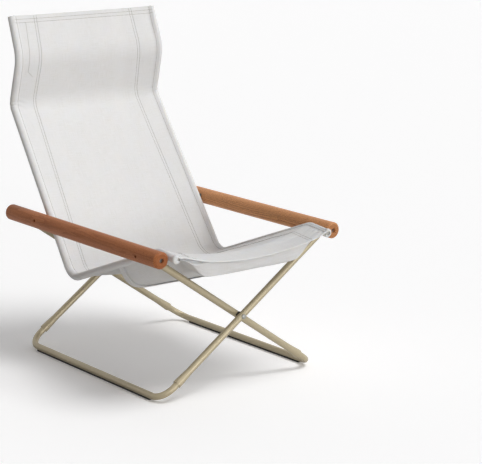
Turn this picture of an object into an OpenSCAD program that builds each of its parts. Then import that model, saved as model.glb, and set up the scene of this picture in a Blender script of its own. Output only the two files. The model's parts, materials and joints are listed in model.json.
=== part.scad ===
// Side-folding lounge chair with round wooden arms, crossed tube legs and a canvas sling.
// Millimetres, +Z up, -Y to the front, +X to the sitter's left.
// The origin is on the floor, in the middle of the chair's width and depth.
// Lengths along Y below are measured from the middle of the arms.

/* [Layout] */
// Distance between the axes of the two arms, chair open
arm_spacing = 570; // [540:1:600]
// Height of the arms' axes above the floor
arm_z = 396; // [380:1:420]
// Distance between the axes of the two floor runners
runner_spacing = 522; // [500:1:550]
// Distance of the outer legs from the ends of the arms
leg_setback = 40; // [36:1:46]
// Gap between the outer and the inner legs where they cross
leg_gap = 2.1; // [1.5:0.1:4]

/* [Arms] */
// Diameter of the wooden arm rods
arm_d = 45; // [43:1:50]
// Length of the arm rods
arm_len = 744; // [730:2:800]
// Chamfer round the ends of the arms
arm_chamfer = 5; // [1:0.5:5]
// Diameter of the recess in each end of an arm
end_recess_d = 13; // [12.5:0.5:16]
// Depth of the recess in each end of an arm
end_recess_h = 11; // [8:0.5:12]
// Height of the front arm screws below the arms' axes
front_screw_drop = 2; // [-4:0.5:4]
// Height of the rear arm screws above the arms' axes
rear_screw_rise = 4; // [-4:0.5:6]

/* [Leg frames] */
// Diameter of the leg tubes
leg_d = 19; // [18:0.5:21]
// Wall of the leg and runner tubes
leg_wall = 1.5; // [1:0.1:2]
// Diameter of the runner tubes
runner_d = 18; // [17:0.5:18.5]
// Bend radius of the runners, on the tube's axis
runner_bend = 46; // [40:1:48]
// Height of the joint line above the runner's axis, along the leg
socket_line = 58; // [56:1:70]
// Outer diameter of the leg's flared socket at the joint line
socket_d = 23.5; // [22.5:0.5:26]
// Length of the flare
socket_len = 48; // [40:1:60]
// Depth to which the runner plugs into the leg
plug_depth = 34; // [25:1:36]
// Height of the rubber strip under the runner, below the tube
strip_t = 3; // [2:0.5:5]
// Width of the rubber strip's flat foot
strip_w = 11; // [9:0.5:13]

/* [Pins and bolts] */
// Diameter of the hinge pins in the arms
pin_d = 8; // [6:0.5:8]
// Diameter of the hinge pins' heads
pin_head_d = 12; // [10:0.5:12]
// Depth of the pins in the wood past the legs
pin_grip = 10; // [8:0.5:10.5]
// Diameter of the bolts where the legs cross
bolt_d = 8; // [6:0.5:8]
// Diameter of the arm screws
screw_d = 5; // [4:0.5:5.5]
// Radial clearance of pins, bolts, screws and plugged tubes
fit_gap = 0.05; // [0.02:0.01:0.1]

/* [Side rails] */
// Diameter of the side rails
rail_d = 18; // [17:0.5:19]
// Wall of the side rails
rail_wall = 1.5; // [1:0.1:2]
// Gap between an arm and its rail, filled by the saddle spacers
rail_gap = 3; // [2.5:0.1:5]
// Lean of the rails towards the middle, going up
rail_tilt = 1.3; // [0.5:0.1:1.6]
// Reach of the rails' front ends ahead of the arms
front_reach = 13; // [5:1:20]
// Height of the rails' front ends above the arms' axes
front_rise = 1; // [-3:0.5:4]
// Length along Y of the front edge, from the rails' front ends to the first bend
lip_run = 72; // [65:1:80]
// Rise of the front edge
lip_rise = 7; // [3:0.5:10]
// Length along Y of the seat, from the first bend to the corner
seat_run = 418; // [405:1:430]
// Drop of the seat over that length
seat_drop = 156; // [145:1:165]
// Length along Y of the back, from the corner to the shoulders
back_run = 314; // [300:1:330]
// Rise of the back over that length
back_rise = 446; // [430:1:460]
// Length along Y by which the neck comes forward of the shoulders
neck_run = 38; // [30:1:45]
// Rise from the shoulders to the neck
neck_rise = 135; // [125:1:145]
// Length along Y by which the top goes back from the neck
head_run = 40; // [32:1:48]
// Rise from the neck to the rails' top ends
head_rise = 107; // [95:1:115]
// Height of the joint between seat rail and back rail above the arms' axes
joint_rise = 63; // [50:1:80]
// Length of the back rail's neck inside the seat rail
neck_len = 50; // [30:1:60]

/* [Canvas] */
// Thickness of the canvas
cloth_t = 1; // [0.8:0.1:1.2]
// Gap between a rail and the canvas sleeve round it
sleeve_gap = 0.3; // [0.2:0.1:0.5]
// How far the sleeve's mouth covers the plug ahead of the rail's front end
sleeve_front = 2.5; // [1:0.5:2.5]
// Length of the opening in the sleeve's back, at the rail joint
sleeve_notch = 32; // [25:1:40]
// Sag of the canvas in the middle of the front hem
front_sag = 34; // [28:1:40]
// Sag of the canvas in the middle of the seat's rear corner
corner_sag = 26; // [20:1:30]
// Sag of the canvas in the middle of the back
back_sag = 8; // [4:1:12]
// Depth of the under-seat sling below the rails, near the front
sling_depth = 66; // [60:1:70]
// Length of the under-seat sling along the rails, from the front hem
sling_len = 285; // [240:5:310]

/* [Hidden] */
$fn = 64;

// Crossed legs: both halves of an X have the same lean
arm_half = arm_spacing / 2;
runner_half = runner_spacing / 2;
runner_z = runner_d / 2 + strip_t;
pivot_z = (arm_half * runner_z + runner_half * arm_z) / (arm_half + runner_half);
open_lean = atan2(arm_half, arm_z - pivot_z);
leg_up = arm_half / sin(open_lean);
leg_down = runner_half / sin(open_lean);
outer_leg_y = arm_len / 2 - leg_setback;
inner_leg_y = outer_leg_y - leg_d - leg_gap;

// Side rail: a path in its own plane, as [y, height] points with a bend radius at each
FRONT = [-arm_len / 2 - front_reach, arm_z + front_rise];
LIP = FRONT + [lip_run, lip_rise];
CORNER = LIP + [seat_run, -seat_drop];
SHOULDER = CORNER + [back_run, back_rise];
NECK = SHOULDER + [-neck_run, neck_rise];
TOP = NECK + [head_run, head_rise];
RAIL = [FRONT, LIP, CORNER, SHOULDER, NECK, TOP];
RAIL_BEND = [0, 45, 50, 40, 95, 0];
rail_half = arm_half - arm_d / 2 - rail_gap - rail_d / 2;
sleeve_r = rail_d / 2 + sleeve_gap + cloth_t;
sleeve_top = 4;
plug_flange = 3;

// Bent rods: how far straights run into bends, and how much thinner the bends are
bend_lap = 0.3;
bend_thin = 0.2;

// Folded, the tops of the two sleeves nearly meet
top_half = rail_half - sin(rail_tilt) * (TOP[1] + sleeve_top - arm_z);
folded_half = arm_half - top_half + sleeve_r + 1;
folded_lean = asin(folded_half / leg_up);

// Leg ends in the arms
leg_top_cut = 8;
mortise_gap = 0.6;
mortise_r = norm([leg_top_cut, leg_d / 2]) + mortise_gap;
leg_plug_len = 26;

// Plug ends, strips and cuts
plug_round = 1.5;
spigot_len = 12;
plug_clear = 0.5;
socket_rim = 6;
strip_end = 5;
strip_lip = 2.5;
cut = 1;

// Screws, bolts and pins: heads, recesses and the hexagonal sockets in them
hex_part = 0.75;
pin_head_h = 3.5;
screw_hole_d = 8.5;
screw_hole_h = 12;
screw_head_h = 4;
screw_reach = 3;
spacer_d = 13;
spacer_clear = 0.5;
bolt_head_d = 14;
bolt_head_h = 4.5;
bolt_end = 2;
nut_d = 15;
nut_h = 6.5;

// Joint between the seat rail and the back rail
rail_joint_gap = 0.3;
neck_start = 5;
joint_screw_d = 4;
joint_screw_len = 4;
joint_screw_back = 22;
joint_head_h = 1;
notch_edge = 6;

// Canvas: clearances, and where its faces run beside the rails
cloth_clear = 0.3;
top_face = 3;
under_face = 4.5;
sling_setback = 2;
sling_below = 5;
sling_fall = 15;
sling_sink = 7;
sling_legs = 95;
sling_legs_to_pocket = 100;
SLING_POWER = [6, 10];

// Depth of the whole chair, to put the origin in its middle
rear_reach = max(arc_centre(RAIL, RAIL_BEND, 3)[0] + RAIL_BEND[3] + sleeve_r,
    TOP[0] + sleeve_top * cos(heading(RAIL, 4)) + sleeve_r * sin(heading(RAIL, 4)));
middle_y = (FRONT[0] - plug_flange + rear_reach) / 2;

WOOD = "#B07C56";
PAINT = "#BDB39C";
STEEL = "#8F8F8C";
CANVAS = "#DDDDDA";
RUBBER = "#2A2826";

// Heading of leg i of a path, and its turn at point i
function heading(p, i) = atan2(p[i + 1][1] - p[i][1], p[i + 1][0] - p[i][0]);
function turn(p, i) = heading(p, i) - heading(p, i - 1);
function along(a) = [cos(a), sin(a)];
function left_of(a) = [-sin(a), cos(a)];
function tangent_len(p, r, i) = i == 0 || i == len(p) - 1 ? 0 : r[i] * tan(abs(turn(p, i)) / 2);
function leg_start(p, r, i) = p[i] + tangent_len(p, r, i) * along(heading(p, i));
function leg_end(p, r, i) = p[i + 1] - tangent_len(p, r, i + 1) * along(heading(p, i));
function arc_centre(p, r, i) =
    leg_end(p, r, i - 1) + sign(turn(p, i)) * r[i] * left_of(heading(p, i - 1));
function arc_point(p, r, i, t) = let (a = heading(p, i - 1) + turn(p, i) * t)
    arc_centre(p, r, i) - sign(turn(p, i)) * r[i] * left_of(a);

// Points of the seat part and the back part of the rail, at a height
function seat_at(z) = LIP + (CORNER - LIP) * (LIP[1] - z) / seat_drop;
function back_at(z) = CORNER + (SHOULDER - CORNER) * (z - CORNER[1]) / back_rise;
rail_joint = back_at(arm_z + joint_rise);
front_screw = seat_at(arm_z - front_screw_drop);
rear_screw = back_at(arm_z + rear_screw_rise);

// Places the finished chair with the origin under the middle of its depth
module placed() {
    translate([0, -middle_y, 0]) children();
}

module left_side() {
    mirror([1, 0, 0]) children();
}

// The plane of the right rail: x to y and y to height
module rail_plane() {
    translate([-rail_half, 0, arm_z])
        rotate([0, rail_tilt, 0])
            translate([0, 0, -arm_z])
                rotate([90, 0, 90]) children();
}

// Round rod along a path with bends, in the XY plane. Each stretch stands in the frame of the
// one before it. The bends are a hair thinner than the straights, which run a hair into them.
module bent_rod(p, r, d) {
    translate([p[0][0], p[0][1], 0]) rotate([0, 0, heading(p, 0)]) stretch(p, r, d, 0);
}

module stretch(p, r, d, i) {
    length = norm(leg_end(p, r, i) - leg_start(p, r, i));
    lap_before = i > 0 ? bend_lap : 0;
    lap_after = i < len(p) - 2 ? bend_lap : 0;
    translate([-lap_before, 0, 0]) rotate([0, 90, 0])
        cylinder(d = d, h = lap_before + length + lap_after);
    if (i < len(p) - 2) {
        t = turn(p, i + 1);
        centre = sign(t) * r[i + 1];
        translate([length, centre, 0]) {
            rotate([0, 0, t > 0 ? -90 : 90 + t]) rotate_extrude(angle = abs(t))
                translate([abs(centre), 0]) circle(d = d - bend_thin);
            rotate([0, 0, t]) translate([0, -centre, 0]) stretch(p, r, d, i + 1);
        }
    }
}

// Wooden arm with chamfered, recessed ends, two mortises for the legs and two screw holes
module arm_rod() {
    half = arm_len / 2;
    rotate([-90, 0, 0])
        rotate_extrude()
            polygon([[0, -half], [arm_d / 2 - arm_chamfer, -half], [arm_d / 2, arm_chamfer - half],
                [arm_d / 2, half - arm_chamfer], [arm_d / 2 - arm_chamfer, half], [0, half]]);
}

// Outline of the space that the leg sweeps in the arm, seen along the arm
module leg_sweep() {
    reach = arm_d;
    side = leg_d / 2 + mortise_gap;
    mid = (open_lean + folded_lean) / 2;
    circle(r = mortise_r);
    polygon([side * [cos(open_lean), sin(open_lean)],
        reach * [sin(open_lean), -cos(open_lean)] + side * [cos(open_lean), sin(open_lean)],
        2 * reach * [sin(mid), -cos(mid)],
        reach * [sin(folded_lean), -cos(folded_lean)]
            - side * [cos(folded_lean), sin(folded_lean)],
        -side * [cos(folded_lean), sin(folded_lean)]]);
}

module arm(leg_y) {
    mortise_w = leg_d + 2 * mortise_gap;
    color(WOOD) placed() difference() {
        translate([-arm_half, 0, arm_z]) arm_rod();
        for (end = [-1, 1]) translate([-arm_half, 0, arm_z]) {
            translate([0, end * leg_y + mortise_w / 2, 0])
                rotate([90, 0, 0]) linear_extrude(mortise_w) leg_sweep();
            translate([0, end * (arm_len / 2 + cut), 0])
                rotate([90 * end, 0, 0]) {
                    cylinder(d = end_recess_d, h = end_recess_h + cut);
                    cylinder(d = pin_d + 2 * fit_gap,
                        h = arm_len / 2 + cut - leg_y + mortise_w / 2 + pin_grip + fit_gap);
                }
        }
        for (p = [front_screw, rear_screw])
            translate([-arm_half - arm_d / 2 - cut, p[0], p[1]]) rotate([0, 90, 0]) {
                cylinder(d = screw_hole_d, h = screw_hole_h + cut);
                cylinder(d = screw_d + 2 * fit_gap, h = arm_d + 2 * cut);
            }
    }
}

// Hinge pins: driven in from the ends of an arm, through its mortises
module hinge_pins(leg_y) {
    pin_start = arm_len / 2 - end_recess_h;
    pin_len = pin_start - leg_y + leg_d / 2 + mortise_gap + pin_grip;
    color(STEEL) placed() for (end = [-1, 1])
        translate([-arm_half, end * pin_start, arm_z]) rotate([90 * end, 0, 0])
            difference() {
                union() {
                    cylinder(d = pin_d, h = pin_len);
                    translate([0, 0, -pin_head_h]) cylinder(d = pin_head_d, h = pin_head_h);
                }
                translate([0, 0, -pin_head_h - cut])
                    cylinder(d = hex_part * pin_d, h = pin_head_h, $fn = 6);
            }
}

// Seat rail: the lower part of a side rail, from the front end to the joint in the back
module seat_rail() {
    path = [FRONT, LIP, CORNER, rail_joint];
    bore = [FRONT - cut * along(heading(RAIL, 0)), LIP, CORNER,
        rail_joint + cut * along(heading(RAIL, 2))];
    color(PAINT) placed() difference() {
        rail_plane() difference() {
            bent_rod(path, RAIL_BEND, rail_d);
            bent_rod(bore, RAIL_BEND, rail_d - 2 * rail_wall);
            joint_screw_hole();
        }
        for (p = [front_screw, rear_screw])
            translate([-rail_half - rail_d, p[0], p[1]]) rotate([0, 90, 0])
                cylinder(d = screw_d + 2 * fit_gap, h = rail_d);
    }
}

// Hole for the joint screw, square to the rail, from its back
joint_screw_at = rail_joint - joint_screw_back * along(heading(RAIL, 2));
module joint_screw_hole() {
    translate([joint_screw_at[0], joint_screw_at[1], 0])
        rotate([0, 90, heading(RAIL, 2) - 90])
            cylinder(d = joint_screw_d + 2 * fit_gap, h = rail_d);
}

// Back rail: the upper part of a side rail, with a thinner neck inside the seat rail
module back_rail() {
    a = along(heading(RAIL, 2));
    path = [rail_joint + rail_joint_gap * a, SHOULDER, NECK, TOP];
    bend = [0, RAIL_BEND[3], RAIL_BEND[4], 0];
    neck_d = rail_d - 2 * rail_wall - 2 * fit_gap;
    bore = [rail_joint - (neck_len + cut) * a, SHOULDER, NECK,
        TOP + cut * along(heading(RAIL, 4))];
    color(PAINT) placed() rail_plane() difference() {
        union() {
            bent_rod(path, bend, rail_d);
            bent_rod([rail_joint - neck_len * a, rail_joint + neck_start * a], bend, neck_d);
        }
        bent_rod(bore, bend, neck_d - 2 * rail_wall);
        joint_screw_hole();
    }
}

// Screw that holds the neck of the back rail in the seat rail
module rail_screw() {
    color(STEEL) placed() rail_plane()
        translate([joint_screw_at[0], joint_screw_at[1], 0])
            rotate([0, 90, heading(RAIL, 2) - 90]) {
                translate([0, 0, rail_d / 2 - joint_screw_len])
                    cylinder(d = joint_screw_d, h = joint_screw_len + fit_gap);
                translate([0, 0, rail_d / 2 + fit_gap])
                    cylinder(d1 = joint_screw_d + 3, d2 = joint_screw_d + 1, h = joint_head_h);
            }
}

// Plastic plugs in the front and top ends of a side rail
module rail_plugs() {
    seat_d = rail_d - 2 * rail_wall - 2 * fit_gap;
    top_seat_d = seat_d - 2 * rail_wall - 2 * fit_gap;
    color(RUBBER) placed() rail_plane() {
        end_plug(FRONT, heading(RAIL, 0) + 180, seat_d);
        end_plug(TOP, heading(RAIL, 4), top_seat_d);
    }
}

module end_plug(p, a, d) {
    r = rail_d / 2;
    top = plug_flange - fit_gap;
    translate([p[0], p[1], 0]) rotate([0, 90, a]) {
        translate([0, 0, fit_gap]) rotate_extrude()
            polygon([[0, 0], [r, 0], [r, top - plug_round], [r - plug_round, top], [0, top]]);
        translate([0, 0, -spigot_len]) cylinder(d = d, h = spigot_len + 2 * fit_gap);
    }
}

// Screws through an arm into the side rail
module arm_screws() {
    head_x = -arm_half - arm_d / 2 + screw_hole_h;
    tip_x = -rail_half - rail_d / 2 + rail_wall + screw_reach;
    color(STEEL) placed() for (p = [front_screw, rear_screw])
        translate([head_x, p[0], p[1]]) rotate([0, 90, 0]) difference() {
            union() {
                cylinder(d = screw_d, h = tip_x - head_x);
                translate([0, 0, -screw_head_h])
                    cylinder(d = screw_hole_d - 4 * fit_gap, h = screw_head_h);
            }
            translate([0, 0, -screw_head_h - cut])
                cylinder(d = hex_part * screw_d, h = screw_head_h, $fn = 6);
        }
}

// Saddle washers between an arm and the side rail
module arm_spacers() {
    color(RUBBER) placed() difference() {
        for (p = [front_screw, rear_screw])
            translate([-rail_half - rail_d, p[0], p[1]]) rotate([0, 90, 0])
                cylinder(d = spacer_d, h = rail_d * 2 / 3);
        translate([-arm_half, 0, arm_z]) rotate([90, 0, 0])
            cylinder(d = arm_d + 2 * fit_gap, h = arm_len, center = true);
        rail_plane() bent_rod(RAIL, RAIL_BEND, rail_d + 2 * fit_gap);
        for (p = [front_screw, rear_screw])
            translate([-arm_half, p[0], p[1]]) rotate([0, 90, 0])
                cylinder(d = screw_d + 2 * fit_gap, h = arm_half);
    }
}

// Canvas sleeve round a side rail, cut out at the arm screws and at the rail joint
module canvas_sleeve() {
    a = heading(RAIL, 2);
    front = FRONT - sleeve_front * along(heading(RAIL, 0));
    bore_front = front - cut * along(heading(RAIL, 0));
    top = TOP + sleeve_top * along(heading(RAIL, 4));
    bore_top = top + cut * along(heading(RAIL, 4));
    color(CANVAS) placed() difference() {
        rail_plane() difference() {
            bent_rod([front, LIP, CORNER, SHOULDER, NECK, top], RAIL_BEND, 2 * sleeve_r);
            bent_rod([bore_front, LIP, CORNER, SHOULDER, NECK, bore_top], RAIL_BEND,
                rail_d + 2 * sleeve_gap);
            translate([joint_screw_at[0], joint_screw_at[1], 0]) rotate([0, 0, a])
                translate([-sleeve_notch / 2, -2 * sleeve_r, -sleeve_r])
                    cube([sleeve_notch, 2 * sleeve_r - notch_edge, 2 * sleeve_r]);
        }
        for (p = [front_screw, rear_screw])
            translate([-arm_half, p[0], p[1]]) rotate([0, 90, 0])
                cylinder(d = spacer_d + 2 * spacer_clear, h = arm_half - rail_half);
    }
}

// Rows of a canvas panel: points along a path, the same number on each straight and bend
STEPS = [3, 2, 10, 7, 9, 5, 3, 4, 4];
function path_rows(p, r) = [for (i = [0 : len(p) - 2]) each concat(
    [for (k = [0 : STEPS[2 * i] - 1])
        let (a = leg_start(p, r, i), b = leg_end(p, r, i)) a + (b - a) * k / STEPS[2 * i]],
    i == len(p) - 2 ? [p[i + 1]] :
        [for (k = [0 : STEPS[2 * i + 1] - 1]) arc_point(p, r, i + 1, k / STEPS[2 * i + 1])])];
function row_heading(rows, i) = let (a = rows[max(i - 1, 0)], b = rows[min(i + 1, len(rows) - 1)])
    atan2(b[1] - a[1], b[0] - a[0]);
function vertex_left(p, i) = let (n = i == 0 ? left_of(heading(p, 0)) :
    i == len(p) - 1 ? left_of(heading(p, i - 1)) :
    left_of(heading(p, i - 1)) + left_of(heading(p, i))) n / norm(n);

// Middle line of the canvas: the rail's path lowered by the sag, with wider bends
SAG = [front_sag, front_sag, corner_sag, 0.7 * back_sag, back_sag, 0.4 * back_sag];
HEM_START = FRONT - sleeve_front * along(heading(RAIL, 0));
HEM_TOP = TOP + sleeve_top * along(heading(RAIL, 4));
EDGE = [HEM_START, LIP, CORNER, SHOULDER, NECK, HEM_TOP];
MIDDLE = [for (i = [0 : len(EDGE) - 1]) EDGE[i] - SAG[i] * vertex_left(EDGE, i)];
MIDDLE_BEND = [0, 60, 95, 70, 110, 0];
EDGE_ROWS = path_rows(EDGE, RAIL_BEND);
MIDDLE_ROWS = path_rows(MIDDLE, MIDDLE_BEND);
COLUMNS = 12;

// Half-width of a panel whose edge meets the sleeves at a height along the rail, and at an
// offset from the rail's axis
function panel_half(s, offset) = rail_half - sin(rail_tilt) * (s - arm_z)
    - sqrt(pow(sleeve_r, 2) - pow(offset, 2)) - cloth_clear;
function true_z(s) = arm_z + cos(rail_tilt) * (s - arm_z);

// Point of the seat and back panel: u runs across from -1 to 1, side is the face
function panel_point(i, u, side) = let (
    e = EDGE_ROWS[i] + (top_face + side * cloth_t / 2) * left_of(row_heading(EDGE_ROWS, i)),
    m = MIDDLE_ROWS[i] + (top_face + side * cloth_t / 2) * left_of(row_heading(MIDDLE_ROWS, i)),
    p = e + (m - e) * (1 - u * u))
    [u * panel_half(EDGE_ROWS[i][1], top_face - cloth_t / 2), p[0], true_z(p[1])];

// Under-seat sling: it leaves the front hem, drops to a flat-bottomed trough and ends at a hem
SLING_ROWS = 14;
function sling_along(i) = sling_len * pow(i / SLING_ROWS, 1.35);
function sling_drop(d) = let (s = front_sag + sling_below, t = min(d / sling_fall, 1))
    s + (sling_depth - s) * sin(90 * t)
        + sling_sink * max(d - sling_fall, 0) / (sling_len - sling_fall);
// Across, it is a flat-bottomed trough, rounder between the front legs than behind them
function sling_power(d) = let (t = min(max((d - sling_legs) / sling_legs_to_pocket, 0), 1))
    SLING_POWER[0] + (SLING_POWER[1] - SLING_POWER[0]) * t;
lip_straight = norm(leg_end(RAIL, RAIL_BEND, 0) - HEM_START);
function on_rail(d) = d < lip_straight ? HEM_START + d * along(heading(RAIL, 0))
        : LIP + (d - norm(LIP - HEM_START)) * along(heading(RAIL, 1));
function sling_point(i, u, side) = let (
    d = sling_setback + sling_along(i),
    e = on_rail(d) - under_face * left_of(heading(RAIL, d < lip_straight ? 0 : 1)),
    drop = (sling_drop(d) - under_face) * (1 - pow(abs(u), sling_power(d))))
    [u * panel_half(e[1], under_face - 3.5 * cloth_t), e[0],
        true_z(e[1]) - drop + side * cloth_t / 2];

// Closed sheet from two grids of points, top face first
function grid_faces(rows, cols) = let (n = (rows + 1) * (cols + 1), w = cols + 1) [
    for (i = [0 : rows - 1], j = [0 : cols - 1]) each let (a = i * w + j) [
        [a, a + 1, a + w + 1], [a, a + w + 1, a + w],
        [n + a, n + a + w + 1, n + a + 1], [n + a, n + a + w, n + a + w + 1]],
    for (j = [0 : cols - 1]) each let (a = j, b = rows * w + j) [
        [a, n + a, n + a + 1], [a, n + a + 1, a + 1],
        [b, n + b + 1, n + b], [b, b + 1, n + b + 1]],
    for (i = [0 : rows - 1]) each let (a = i * w, b = i * w + cols) [
        [a, n + a + w, n + a], [a, a + w, n + a + w],
        [b, n + b, n + b + w], [b, n + b + w, b + w]]];

module seat_back_canvas() {
    rows = len(EDGE_ROWS) - 1;
    points = [for (side = [1, -1], i = [0 : rows], j = [0 : COLUMNS])
        panel_point(i, 2 * j / COLUMNS - 1, side)];
    color(CANVAS) placed() polyhedron(points, grid_faces(rows, COLUMNS));
}

module under_seat_sling() {
    points = [for (side = [1, -1], i = [0 : SLING_ROWS], j = [0 : COLUMNS])
        sling_point(i, sin(90 * (2 * j / COLUMNS - 1)), side)];
    color(CANVAS) placed() polyhedron(points, grid_faces(SLING_ROWS, COLUMNS));
}

// A leg frame stands in its own upright plane, with the crossing at its origin
module leaning(lean) {
    placed() translate([0, 0, pivot_z]) rotate([0, lean, 0]) children();
}

joint_line = -leg_down + socket_line;

// Leg tube with a flared socket at its lower end, bored for the hinge pin and the bolt
module leg(y, lean) {
    color(PAINT) leaning(lean) translate([0, y, 0]) difference() {
        rotate_extrude() polygon([
            [0, joint_line], [socket_d / 2, joint_line], [socket_d / 2, joint_line + socket_rim],
            [leg_d / 2, joint_line + socket_len], [leg_d / 2, leg_up + leg_top_cut],
            [0, leg_up + leg_top_cut]]);
        translate([0, 0, joint_line - cut])
            cylinder(d = runner_d + 2 * fit_gap, h = plug_depth + plug_clear + cut);
        translate([0, 0, joint_line])
            cylinder(d = leg_d - 2 * leg_wall, h = leg_up - joint_line + leg_top_cut + cut);
        for (h = [[leg_up, pin_d], [0, bolt_d]])
            translate([0, 0, h[0]]) rotate([90, 0, 0])
                cylinder(d = h[1] + 2 * fit_gap, h = 2 * leg_d, center = true);
    }
}

// Plugs in the tops of a frame's two legs, bored for the hinge pins
module leg_plugs(y, lean) {
    color(RUBBER) leaning(lean) for (side = [-1, 1]) translate([0, side * y, leg_up])
        difference() {
            translate([0, 0, leg_top_cut - leg_plug_len])
                cylinder(d = leg_d - 2 * leg_wall - 2 * fit_gap, h = leg_plug_len);
            rotate([90, 0, 0]) cylinder(d = pin_d + 2 * fit_gap, h = leg_d, center = true);
        }
}

// Runner: a U of tube whose ends plug into a frame's two legs
module runner(y, lean) {
    end_z = joint_line + plug_depth;
    path = [[-y, end_z], [-y, -leg_down], [y, -leg_down], [y, end_z]];
    bore = [[-y, end_z + cut], [-y, -leg_down], [y, -leg_down], [y, end_z + cut]];
    bend = [0, runner_bend, runner_bend, 0];
    color(PAINT) leaning(lean) rotate([90, 0, 90]) difference() {
        bent_rod(path, bend, runner_d);
        bent_rod(bore, bend, runner_d - 2 * leg_wall);
    }
}

// Rubber strip under the straight part of a runner, flat on the floor when the chair is open
module floor_strip(y, side) {
    length = 2 * (y - runner_bend - strip_end);
    half = strip_w / 2;
    color(RUBBER) placed() translate([side * runner_half, 0, runner_z])
        rotate([90, 0, 0]) linear_extrude(length, center = true) difference() {
            translate([0, -runner_z])
                polygon([[-half, 0], [half, 0], [half + 1, 1], [half + 1, strip_t + strip_lip],
                    [-half - 1, strip_t + strip_lip], [-half - 1, 1]]);
            circle(d = runner_d + 2 * fit_gap);
        }
}

// Hardware at the two crossings, from the outer leg to the inner one
bolt_in = inner_leg_y - leg_d / 2 - 2 * fit_gap - nut_h - bolt_end;
bolt_out = outer_leg_y + leg_d / 2 + 2 * fit_gap;
module crossing_bolts() {
    r = bolt_head_d / 2;
    h = bolt_head_h;
    color(STEEL) placed() for (end = [-1, 1])
        translate([0, end * bolt_out, pivot_z]) rotate([90 * end, 0, 0]) {
            cylinder(d = bolt_d, h = bolt_out - bolt_in);
            rotate_extrude() polygon([[0, 0], [0, -h], [0.43 * r, -h], [0.78 * r, -0.73 * h],
                [0.94 * r, -0.38 * h], [r, 0]]);
        }
}

module crossing_nuts() {
    color(STEEL) placed() for (end = [-1, 1])
        translate([0, end * (bolt_in + bolt_end), pivot_z]) rotate([-90 * end, 0, 0])
            difference() {
                cylinder(d = nut_d, h = nut_h, $fn = 6);
                translate([0, 0, -cut]) cylinder(d = bolt_d + 2 * fit_gap, h = nut_h + 2 * cut);
            }
}

module crossing_washers() {
    color(RUBBER) placed() for (end = [-1, 1])
        translate([0, end * (outer_leg_y - leg_d / 2 - leg_gap + fit_gap), pivot_z])
            rotate([-90 * end, 0, 0]) difference() {
                cylinder(d = leg_d, h = leg_gap - 2 * fit_gap);
                translate([0, 0, -cut]) cylinder(d = bolt_d + 2 * fit_gap, h = leg_gap + 2 * cut);
            }
}

arm(inner_leg_y);  // right_arm
left_side() arm(outer_leg_y);  // left_arm
seat_rail();  // right_seat_rail
left_side() seat_rail();  // left_seat_rail
back_rail();  // right_back_rail
left_side() back_rail();  // left_back_rail
rail_screw();  // right_rail_screw
left_side() rail_screw();  // left_rail_screw
rail_plugs();  // right_rail_plugs
left_side() rail_plugs();  // left_rail_plugs
arm_screws();  // right_arm_screws
left_side() arm_screws();  // left_arm_screws
arm_spacers();  // right_arm_spacers
left_side() arm_spacers();  // left_arm_spacers
hinge_pins(inner_leg_y);  // right_hinge_pins
left_side() hinge_pins(outer_leg_y);  // left_hinge_pins
canvas_sleeve();  // right_canvas_sleeve
left_side() canvas_sleeve();  // left_canvas_sleeve
seat_back_canvas();
under_seat_sling();
leg(-inner_leg_y, -open_lean);  // inner_front_leg
leg(inner_leg_y, -open_lean);  // inner_rear_leg
leg_plugs(inner_leg_y, -open_lean);  // inner_leg_plugs
runner(inner_leg_y, -open_lean);  // inner_runner
floor_strip(inner_leg_y, 1);  // inner_floor_strip
leg(-outer_leg_y, open_lean);  // outer_front_leg
leg(outer_leg_y, open_lean);  // outer_rear_leg
leg_plugs(outer_leg_y, open_lean);  // outer_leg_plugs
runner(outer_leg_y, open_lean);  // outer_runner
floor_strip(outer_leg_y, -1);  // outer_floor_strip
crossing_bolts();
crossing_nuts();
crossing_washers();
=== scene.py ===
"""Side-folding lounge chair: beech arms, painted steel tubes and a sewn canvas sling.

The frame is loaded first. Each piece or group of like pieces has an operator, and the panel
lists them in the order in which they are run.
"""
import json
import math
from collections import namedtuple

import bpy
from bpy.props import FloatProperty, FloatVectorProperty, IntProperty, PointerProperty
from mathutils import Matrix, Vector, noise


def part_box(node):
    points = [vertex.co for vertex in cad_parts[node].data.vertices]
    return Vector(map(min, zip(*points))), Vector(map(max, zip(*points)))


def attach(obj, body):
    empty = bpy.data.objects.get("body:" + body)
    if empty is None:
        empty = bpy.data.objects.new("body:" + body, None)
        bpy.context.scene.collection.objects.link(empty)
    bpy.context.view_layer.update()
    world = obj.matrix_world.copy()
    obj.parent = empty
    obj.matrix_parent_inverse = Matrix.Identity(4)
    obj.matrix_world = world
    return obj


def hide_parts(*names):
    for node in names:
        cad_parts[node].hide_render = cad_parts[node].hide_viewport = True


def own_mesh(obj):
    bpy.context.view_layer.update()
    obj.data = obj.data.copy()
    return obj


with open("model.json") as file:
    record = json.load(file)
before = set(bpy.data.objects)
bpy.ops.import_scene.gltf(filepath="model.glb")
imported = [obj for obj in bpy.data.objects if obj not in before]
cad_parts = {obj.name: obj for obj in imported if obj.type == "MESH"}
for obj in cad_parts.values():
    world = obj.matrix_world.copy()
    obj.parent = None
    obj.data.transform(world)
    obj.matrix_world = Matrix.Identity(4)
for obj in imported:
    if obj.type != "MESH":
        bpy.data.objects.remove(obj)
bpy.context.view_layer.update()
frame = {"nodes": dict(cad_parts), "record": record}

bl_info = {
    "name": "Sling Lounge Chair",
    "version": (1, 0, 0),
    "blender": (4, 5, 0),
    "location": "View3D > Sidebar > Chair",
    "description": "Dresses a folding lounge chair with canvas, beech and painted steel",
    "category": "Add Mesh",
}

MM = 0.001


SIDES = (("right", -1), ("left", 1))
# Steps of the mesh between the stations of the canvas's upper and lower layers
UPPER_STEPS = (3, 15, 1, 1, 26)
LOWER_STEPS = (2, 7, 1, 1, 2)
SHADER = "Principled BSDF"
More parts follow.
